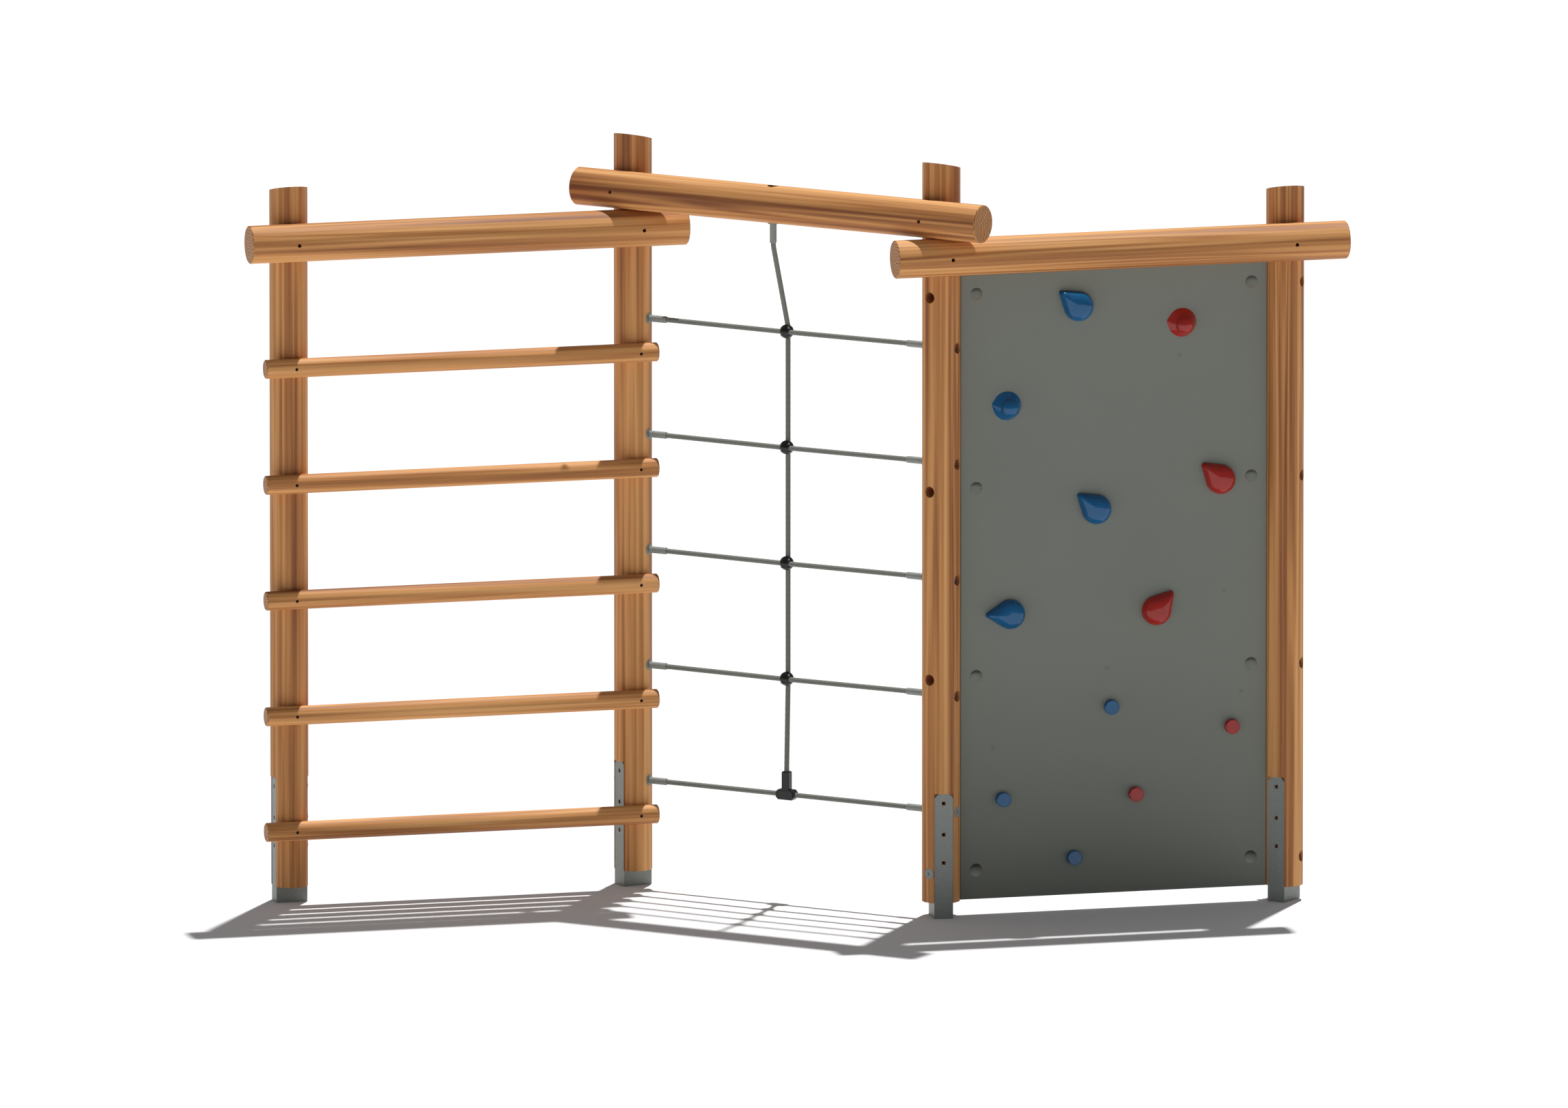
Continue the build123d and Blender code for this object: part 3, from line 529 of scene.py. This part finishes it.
def shown(mesh: bmesh.types.BMesh, node: str, slot: Slot, materials: dict) -> bpy.types.Object:
    """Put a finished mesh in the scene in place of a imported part.

    Args:
        mesh: the mesh, which is freed.
        node: the part it stands for.
        slot: its material slot.
        materials: the material of each slot.

    Returns:
        The new object.
    """
    data = bpy.data.meshes.new(f"shown_{node}")
    mesh.to_mesh(data)
    mesh.free()
    return shown_data(data, node, slot, materials)


def shown_data(data: bpy.types.Mesh, node: str, slot: Slot, materials: dict) -> bpy.types.Object:
    """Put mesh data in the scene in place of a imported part.

    Args:
        data: the mesh data.
        node: the part it stands for.
        slot: its material slot.
        materials: the material of each slot.

    Returns:
        The new object.
    """
    piece = bpy.data.objects.new(f"shown_{node}", data)
    bpy.context.scene.collection.objects.link(piece)
    data.materials.clear()
    data.materials.append(materials[slot])
    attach(piece, "root")
    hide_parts(node)
    log.info("%s is dressed in %s", node, slot.value)
    return piece


def dress(nodes: Iterable[str], slot: Slot, materials: dict, sharp: float = SHARP) -> None:
    """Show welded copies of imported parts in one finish.

    Args:
        nodes: the parts' names.
        slot: their material slot.
        materials: the material of each slot.
        sharp: the turn in degrees above which an edge stays sharp.
    """
    for node in nodes:
        shown(welded(node, sharp), node, slot, materials)


def middle(node: str) -> tuple[Vector, Vector]:
    """Find a part's middle and its size.

    Args:
        node: the part's name.

    Returns:
        The middle of its box, and the box's size.
    """
    low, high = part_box(node)
    return (Vector(low) + Vector(high)) / 2, Vector(high) - Vector(low)


@dataclass
class RoundTimber:
    """One turned timber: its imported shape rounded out, with the coordinates its grain follows.

    An edge on the round side, within slack of the radius, spans no more than step. A face is on the
    round side if it faces away from the axis, and on an end if it faces along it, by the cosines.
    """

    node: str
    way: Vector
    seed: int
    step: float = math.radians(6.5)
    slack: float = 4e-5
    outward: float = 0.94
    endward: float = 0.6
    heart_off: tuple = (0.55, 0.9)
    shift: tuple = (5, 60)

    def build(self, materials: dict) -> bpy.types.Object:
        """Round the timber out, lay the grain in it and show it.

        Args:
            materials: the material of each slot.

        Returns:
            The timber.
        """
        self.centre, size = middle(self.node)
        self.radius = (size.x if self.way == UP else size.z) / 2
        mesh = welded(self.node)
        while self.round_out(mesh):
            pass
        smooth(mesh, SHARP)
        data = bpy.data.meshes.new(f"shown_{self.node}")
        mesh.to_mesh(data)
        mesh.free()
        self.lay_grain(data)
        return shown_data(data, self.node, Slot.LARCH, materials)

    def spoke(self, point: Vector) -> Vector:
        """Find the shortest way from the axis to a point.

        Args:
            point: a point in the row frame.

        Returns:
            The vector from the axis to it.
        """
        offset = point - self.centre
        return offset - self.way * offset.dot(self.way)

    def is_round(self, face: bmesh.types.BMFace) -> bool:
        """Tell whether a face lies on the timber's round side.

        Args:
            face: the face.

        Returns:
            True if it faces straight away from the axis.
        """
        away = self.spoke(face.calc_center_median()).normalized()
        return face.normal.dot(away) > self.outward

    def round_out(self, mesh: bmesh.types.BMesh) -> bool:
        """Halve every edge that spans too much of the round side, and set the new corners out.

        Args:
            mesh: the timber's mesh.

        Returns:
            True if an edge was cut, so that the mesh wants another look.
        """
        cut = []
        for edge in mesh.edges:
            first, second = (self.spoke(corner.co) for corner in edge.verts)
            off = max(abs(spoke.length - self.radius) for spoke in (first, second))
            if off < self.slack and first.angle(second, 0) > self.step:
                if any(self.is_round(face) for face in edge.link_faces):
                    cut.append(edge)
        if not cut:
            return False
        made = bmesh.ops.subdivide_edges(mesh, edges=cut, cuts=1)
        for corner in made["geom_inner"]:
            if isinstance(corner, bmesh.types.BMVert):
                spoke = self.spoke(corner.co)
                corner.co += spoke.normalized() * (self.radius - spoke.length)
        return True

    def lay_grain(self, data: bpy.types.Mesh) -> None:
        """Store where each point lies in the tree, whether a face is cut across, and its depth.

        The grain coordinate is the place across the timber, turned and shifted off its middle so that
        the heart isn't centred, and then the place along it, shifted so that no two timbers match.

        Args:
            data: the timber's mesh data.
        """
        rng = np.random.default_rng(self.seed)
        turn = rng.uniform(0, 2 * math.pi)
        heart = rng.uniform(*self.heart_off, 2) * rng.choice([-1, 1], 2) * self.radius
        side = self.way.orthogonal().normalized()
        basis = np.array([side, self.way.cross(side), self.way])
        points = np.empty(len(data.vertices) * 3, np.float32)
        data.vertices.foreach_get("co", points)
        local = (points.reshape(-1, 3) - np.array(self.centre)) @ basis.T
        spin = np.array([[math.cos(turn), -math.sin(turn)], [math.sin(turn), math.cos(turn)]])
        across = local[:, :2] @ spin.T + heart
        along = local[:, 2:] + rng.uniform(*self.shift)
        grain = data.attributes.new("grain", "FLOAT_VECTOR", "POINT")
        grain.data.foreach_set("vector", np.hstack([across, along]).astype(np.float32).ravel())
        normals = np.empty(len(data.polygons) * 3, np.float32)
        data.polygons.foreach_get("normal", normals)
        ends = np.abs(normals.reshape(-1, 3) @ np.array(self.way)) > self.endward
        cut = data.attributes.new("cut", "FLOAT", "FACE")
        cut.data.foreach_set("value", ends.astype(np.float32))
        on_end = np.zeros(len(data.vertices), bool)
        for face in data.polygons:
            if ends[face.index]:
                on_end[list(face.vertices)] = True
        inward = self.radius - np.linalg.norm(local[:, :2], axis=1)
        deep = data.attributes.new("depth", "FLOAT", "POINT")
        deep.data.foreach_set("value", np.where(on_end, 0.0, inward).astype(np.float32))


@dataclass
class LaidRope:
    """A taut rope of six laid strands along straight runs that tangent arcs join.

    A strand turns once round the rope in each lay. The groove between two strands is that share of the
    radius deep, and the power below 1 makes the crests broad and the grooves narrow.
    """

    node: str
    points: list
    radii: list
    diameter: float = 0.016
    strands: int = 6
    lay: float = 0.115
    groove: float = 0.08
    power: float = 0.7
    around: int = 42
    pace: float = 0.0042
    arc_steps: int = 8

    def centreline(self) -> np.ndarray:
        """Walk the route, with an arc at each inner point.

        The two runs stop short of the point by the radius times the tangent of half the turn, and an
        arc of that radius joins them.

        Returns:
            Evenly close points from one end to the other.
        """
        route = [np.array(point, float) for point in self.points]
        walk = [route[0]]
        for before, here, after, radius in zip(route, route[1:], route[2:], self.radii):
            arriving = (here - before) / np.linalg.norm(here - before)
            leaving = (after - here) / np.linalg.norm(after - here)
            turn = math.acos(np.clip(arriving @ leaving, -1, 1))
            start = here - arriving * radius * math.tan(turn / 2)
            inward = leaving - arriving * (arriving @ leaving)
            inward /= np.linalg.norm(inward)
            for share in np.linspace(0, 1, self.arc_steps + 1):
                swept = turn * share
                out = arriving * math.sin(swept) + inward * (1 - math.cos(swept))
                walk.append(start + radius * out)
        walk.append(route[-1])
        walk = np.array(walk)
        gone = np.concatenate([[0], np.cumsum(np.linalg.norm(np.diff(walk, axis=0), axis=1))])
        self.length = gone[-1]
        count = int(self.length / self.pace) + 1
        at = np.linspace(0, self.length, count)
        return np.column_stack([np.interp(at, gone, walk[:, i]) for i in range(3)])

    def skin(self, line: np.ndarray, along: np.ndarray) -> tuple[np.ndarray, np.ndarray]:
        """Work out the skin, a ring of points at each step.

        The distance from the centreline to the skin is the radius, less the groove's share of it by
        how far the point lies from a strand's crest. The crests turn once in each lay.

        Args:
            line: the centreline.
            along: how far along it each of its points is.

        Returns:
            The points, by step and place round the ring, and how near a crest each is, from 0 to 1.
        """
        way = np.gradient(line, axis=0)
        way /= np.linalg.norm(way, axis=1)[:, None]
        # Any direction well away from the rope's own gives the rings their first point.
        askew = [0.3, 0.2, 1.0] if abs(way[0][2]) < 0.5 else [1.0, 0.9, 0.1]
        side = np.cross(way, askew)
        side /= np.linalg.norm(side, axis=1)[:, None]
        other = np.cross(way, side)
        angle = np.linspace(0, math.tau, self.around, endpoint=False)
        phase = self.strands / 2 * (angle[None, :] - math.tau * along[:, None] / self.lay)
        crest = np.abs(np.cos(phase)) ** self.power
        reach = self.diameter / 2 * (1 - self.groove * (1 - crest))
        turned = np.cos(angle)[None, :, None] * side[:, None] + np.sin(angle)[None, :, None] * other[:, None]
        return line[:, None] + reach[..., None] * turned, crest

    def unwrap(self, data: bpy.types.Mesh, along: np.ndarray) -> None:
        """Give the skin its UV map: turns round the rope, by metres along it.

        Args:
            data: the rope's mesh data.
            along: how far along the rope each ring is.
        """
        rings, around = len(along), self.around
        ring = np.append(np.repeat(np.arange(rings), around), [0, rings - 1])
        seat = np.append(np.tile(np.arange(around), rings), [0, 0])
        picked = np.empty(len(data.loops), np.int32)
        data.loops.foreach_get("vertex_index", picked)
        turns = seat[picked] / around
        # The last face of each ring ends at one whole turn, and not at none.
        quads = (rings - 1) * around
        last = np.repeat(np.arange(quads) % around == around - 1, 4)
        turns[: quads * 4] += np.where(last & (seat[picked[: quads * 4]] == 0), 1.0, 0.0)
        uv = np.column_stack([turns, along[ring[picked]]]).astype(np.float32)
        data.uv_layers.new(name="turns_by_metres").data.foreach_set("uv", uv.ravel())

    def build(self, materials: dict) -> bpy.types.Object:
        """Args:
            materials: the material of each slot.

        Returns:
            The rope.
        """
        line = self.centreline()
        along = np.linspace(0, self.length, len(line))
        skin, crest = self.skin(line, along)
        rings, around = crest.shape
        corners = np.vstack([skin.reshape(-1, 3), line[:1], line[-1:]])
        start = np.arange(rings - 1)[:, None] * around
        first = start + np.arange(around)[None, :]
        after = start + (np.arange(around)[None, :] + 1) % around
        quads = np.stack([first, after, after + around, first + around], axis=-1).reshape(-1, 4)
        last = (rings - 1) * around
        faces = quads.tolist()
        for i in range(around):
            faces.append([(i + 1) % around, i, rings * around])
            faces.append([last + i, last + (i + 1) % around, rings * around + 1])
        data = bpy.data.meshes.new(f"shown_{self.node}")
        data.from_pydata(corners.tolist(), [], faces)
        data.shade_smooth()
        value = data.attributes.new("crest", "FLOAT", "POINT")
        value.data.foreach_set("value", np.append(crest.ravel(), [1, 1]).astype(np.float32))
        self.unwrap(data, along)
        piece = shown_data(data, self.node, Slot.ROPE, materials)
        log.info("%s is %.4f m long", self.node, self.length)
        return piece


@dataclass
class TimberWork:
    """The posts, the beams and the rungs."""

    net_way: Vector

    def build(self, materials: dict) -> None:
        """Show every timber.

        Args:
            materials: the material of each slot.
        """
        timbers = [(f"post_{n}", UP) for n in range(1, 5)]
        timbers += [(f"rung_{n}", ACROSS) for n in range(1, 6)]
        timbers += [("beam_ladder", ACROSS), ("beam_net", self.net_way), ("beam_wall", ACROSS)]
        for seed, (node, way) in enumerate(timbers, 11):
            RoundTimber(node, way, seed).build(materials)


@dataclass
class RopeNet:
    """The level ropes, the hanging rope, and the connectors and pressed ends that join them.

    Two ropes that cross lie a rope and twice clear apart. A ferrule's mouth is mouth from the timber,
    and it takes grip of the rope, which runs straight for a little past it. A cross connector is a
    ball, and the tee has a stem above its rope and a thread's length below the hanging rope's end.
    """

    rope: float = 0.016
    clear: float = 0.0002
    mouth: float = 0.063
    grip: float = 0.0437
    straight: float = 0.022
    ball: float = 0.045
    stem: float = 0.074
    thread: float = 0.012
    bend_share: float = 0.45
    tight: float = 0.080
    slight: float = 0.600

    def __post_init__(self) -> None:
        """Find the net's two posts and its middle."""
        left, size = middle("post_2")
        right = middle("post_3")[0]
        self.post_r = size.x / 2
        self.middle = ((left + right) / 2).to_3d()
        self.middle.z = 0
        self.half = (right - left).to_2d().length / 2
        self.way = Vector(((right - left).x, (right - left).y, 0)).normalized()
        self.front = UP.cross(self.way) * -1
        self.heights = [middle(f"rope_level_{n}")[0].z for n in range(1, 6)]

    def spot(self, along: float, forward: float, height: float) -> Vector:
        """Find a point of the net.

        Args:
            along: how far to the right of its middle.
            forward: how far out of its front.
            height: how far above the ground.

        Returns:
            The point in the row frame.
        """
        return self.middle + self.way * along + self.front * forward + UP * height

    def level_route(self, height: float, crosses: bool) -> tuple[list, list]:
        """Lay out a level rope: straight, or stepping forward past the hanging rope.

        Args:
            height: its height.
            crosses: whether it passes in front of the hanging rope.

        Returns:
            Its route, and its bends, each a share of the shorter run over the tangent of half the turn.
        """
        end = self.half - self.post_r - self.mouth + self.grip
        run = self.half - self.post_r - self.mouth - self.straight
        if not crosses:
            return [self.spot(-end, 0, height), self.spot(end, 0, height)], []
        out = self.rope / 2 + self.clear
        half_ball = self.ball / 2
        plan = [(-end, 0), (-run, 0), (-half_ball, out), (half_ball, out), (run, 0), (end, 0)]
        route = [self.spot(along, forward, height) for along, forward in plan]
        radii = []
        for before, here, after in zip(route, route[1:], route[2:]):
            half_turn = (here - before).angle(after - here) / 2
            shorter = min((here - before).length, (after - here).length)
            radii.append(self.bend_share * shorter / math.tan(half_turn))
        return route, radii

    def hanging_route(self) -> tuple[list, list]:
        """Lay out the hanging rope.

        Returns:
            Its route and its bends.
        """
        beam_out = (middle("beam_net")[0] - self.middle).dot(self.front)
        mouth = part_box("hanger_ferrule")[0][2]
        out = -self.rope / 2 - self.clear
        low, second, top = self.heights[0], self.heights[1], self.heights[-1]
        plan = [
            (beam_out, mouth + self.grip),
            (beam_out, mouth - self.rope / 2),
            (out, top + self.ball / 3),
            (out, second - self.ball / 2),
            (0, low + self.stem + self.straight / 2),
            (0, low + self.rope / 2 + self.thread),
        ]
        route = [self.spot(0, forward, height) for forward, height in plan]
        return route, [self.tight, self.tight, self.slight, self.slight]

    def build(self, materials: dict) -> None:
        """Show the ropes and dress what holds them.

        Args:
            materials: the material of each slot.
        """
        for number, height in enumerate(self.heights, 1):
            LaidRope(f"rope_level_{number}", *self.level_route(height, number > 1)).build(materials)
        LaidRope("rope_hanging", *self.hanging_route()).build(materials)
        dress([f"cross_connector_{n}" for n in range(1, 5)], Slot.NYLON, materials)
        dress(["tee_connector"], Slot.NYLON, materials)
        ends = ["ferrules_left", "ferrules_right", "hanger_ferrule", "ferrule_washers"]
        bolts = ["rope_anchors_left", "rope_anchors_right", "hanger_bolt"]
        dress(ends + bolts, Slot.GALVANISED, materials)


@dataclass
class ClimbingWall:
    """The panel, its holds and pegs, and the brackets and bolts behind it."""

    blue: tuple = (
        "drop_hold_1",
        "drop_hold_3",
        "drop_hold_5",
        "round_hold_2",
        "foot_peg_1",
        "foot_peg_3",
        "foot_peg_5",
    )
    red: tuple = ("drop_hold_2", "drop_hold_4", "round_hold_1", "foot_peg_2", "foot_peg_4")
    hold_sharp: float = 34.0

    def build(self, materials: dict) -> None:
        """Dress every piece of the wall.

        Args:
            materials: the material of each slot.
        """
        dress(["climbing_panel"], Slot.PANEL, materials)
        dress(["spare_plugs"], Slot.PLUG, materials)
        dress(self.blue, Slot.BLUE, materials, self.hold_sharp)
        dress(self.red, Slot.RED, materials, self.hold_sharp)
        behind = ["wall_brackets_left", "wall_brackets_right", "post_bolts"]
        dress(behind, Slot.GALVANISED, materials)


@dataclass
class Hardware:
    """The shoes under the posts, and every screw, nut and washer."""

    # Painted shade: the sunk screws' zinc is painted near-black for the shade in their holes.
    hole_shade_zinc: Steel = Steel("painted_shade_zinc_plate", "#3C3E3D", "#2A2C2B", 0.3, 0.6, 900.0)
    sunk: tuple = ("beam_screws", "rung_screws")
    screws: tuple = (
        "shoe_screws",
        "shoe_washers",
        "hold_bolts",
        "bracket_screws",
        "post_nuts",
        "wall_washers",
        "connector_screws",
    )

    def build(self, materials: dict) -> None:
        """Dress the shoes and fasteners. The sunk screws are painted dark: painted shade in their holes.

        Args:
            materials: the material of each slot.
        """
        dress([f"shoe_{n}" for n in range(1, 5)], Slot.GALVANISED, materials)
        dress(self.screws, Slot.ZINC, materials)
        dress(self.sunk, Slot.ZINC, {Slot.ZINC: self.hole_shade_zinc.material()})


@dataclass
class Studio:
    """A plain pale floor under soft light, seen from far off and a little above.

    The azimuth and elevation are degrees, and so is the sun's width. The aim is measured from the
    foot of the net's middle, across the view and up it. The frame's width is what the view spans there.
    """

    centre: Vector
    azimuth: float = -15.0
    elevation: float = 10.0
    lens: float = 1000.0
    sensor: float = 36.0
    frame_width: float = 4.943
    aim_right: float = -0.0087
    aim_up: float = 1.0902
    far_clip: float = 2000.0
    sky: float = 0.225
    sky_colour: str = "#F7FAFF"
    sun: float = 3.25
    sun_width: float = 0.9
    sun_way: tuple = (-0.143, -0.205, -1.0)
    floor_size: float = 120.0
    floor_drop: float = 0.0005
    floor_colour: str = "#F2F2F2"
    floor_rough: float = 0.95

    def floor(self) -> None:
        """Lay the floor, wide enough to fill the view behind the object."""
        half = self.floor_size / 2
        data = bpy.data.meshes.new("floor")
        plan = [(-half, -half), (half, -half), (half, half), (-half, half)]
        data.from_pydata([(x, y, -self.floor_drop) for x, y in plan], [], [(0, 1, 2, 3)])
        surface = {"Base Color": colour(self.floor_colour), "Roughness": self.floor_rough}
        data.materials.append(Shader("matt_white_floor").finish(surface, None))
        piece = bpy.data.objects.new("floor", data)
        bpy.context.scene.collection.objects.link(piece)

    def light(self) -> None:
        """Set an even, slightly cool sky and one high sun, from behind and a little to the right."""
        scene = bpy.context.scene
        scene.world = bpy.data.worlds.new("pale_sky")
        scene.world.use_nodes = True
        sky = scene.world.node_tree.nodes["Background"]
        sky.inputs["Color"].default_value = colour(self.sky_colour)
        sky.inputs["Strength"].default_value = self.sky
        lamp = bpy.data.lights.new("high_light", "SUN")
        lamp.energy = self.sun
        lamp.angle = math.radians(self.sun_width)
        piece = bpy.data.objects.new("high_light", lamp)
        piece.rotation_mode = "QUATERNION"
        piece.rotation_quaternion = Vector(self.sun_way).to_track_quat("-Z", "Y")
        scene.collection.objects.link(piece)
        scene.view_settings.view_transform = "Standard"

    def camera(self) -> None:
        """Stand the camera so far off that its view is as good as parallel."""
        turn, tilt = math.radians(self.azimuth), math.radians(self.elevation)
        right = Vector((math.cos(turn), math.sin(turn), 0))
        level = UP.cross(right) * -1
        back = level * math.cos(tilt) + UP * math.sin(tilt)
        up = back.cross(right)
        data = bpy.data.cameras.new("long_lens")
        data.lens = self.lens
        data.sensor_width = self.sensor
        data.clip_end = self.far_clip
        piece = bpy.data.objects.new("long_lens", data)
        aim = self.centre + right * self.aim_right + up * self.aim_up
        piece.location = aim + back * (self.frame_width * self.lens / self.sensor)
        piece.rotation_mode = "QUATERNION"
        piece.rotation_quaternion = (-back).to_track_quat("-Z", "Y")
        bpy.context.scene.collection.objects.link(piece)
        bpy.context.scene.camera = piece

    def build(self) -> None:
        """Lay the floor, light it and set the camera."""
        self.floor()
        self.light()
        self.camera()


def main() -> None:
    """Build the whole scene."""
    materials = finishes()
    net = RopeNet()
    TimberWork(net.way).build(materials)
    net.build(materials)
    ClimbingWall().build(materials)
    Hardware().build(materials)
    Studio(net.middle).build()


if __name__ == "__main__":
    main()
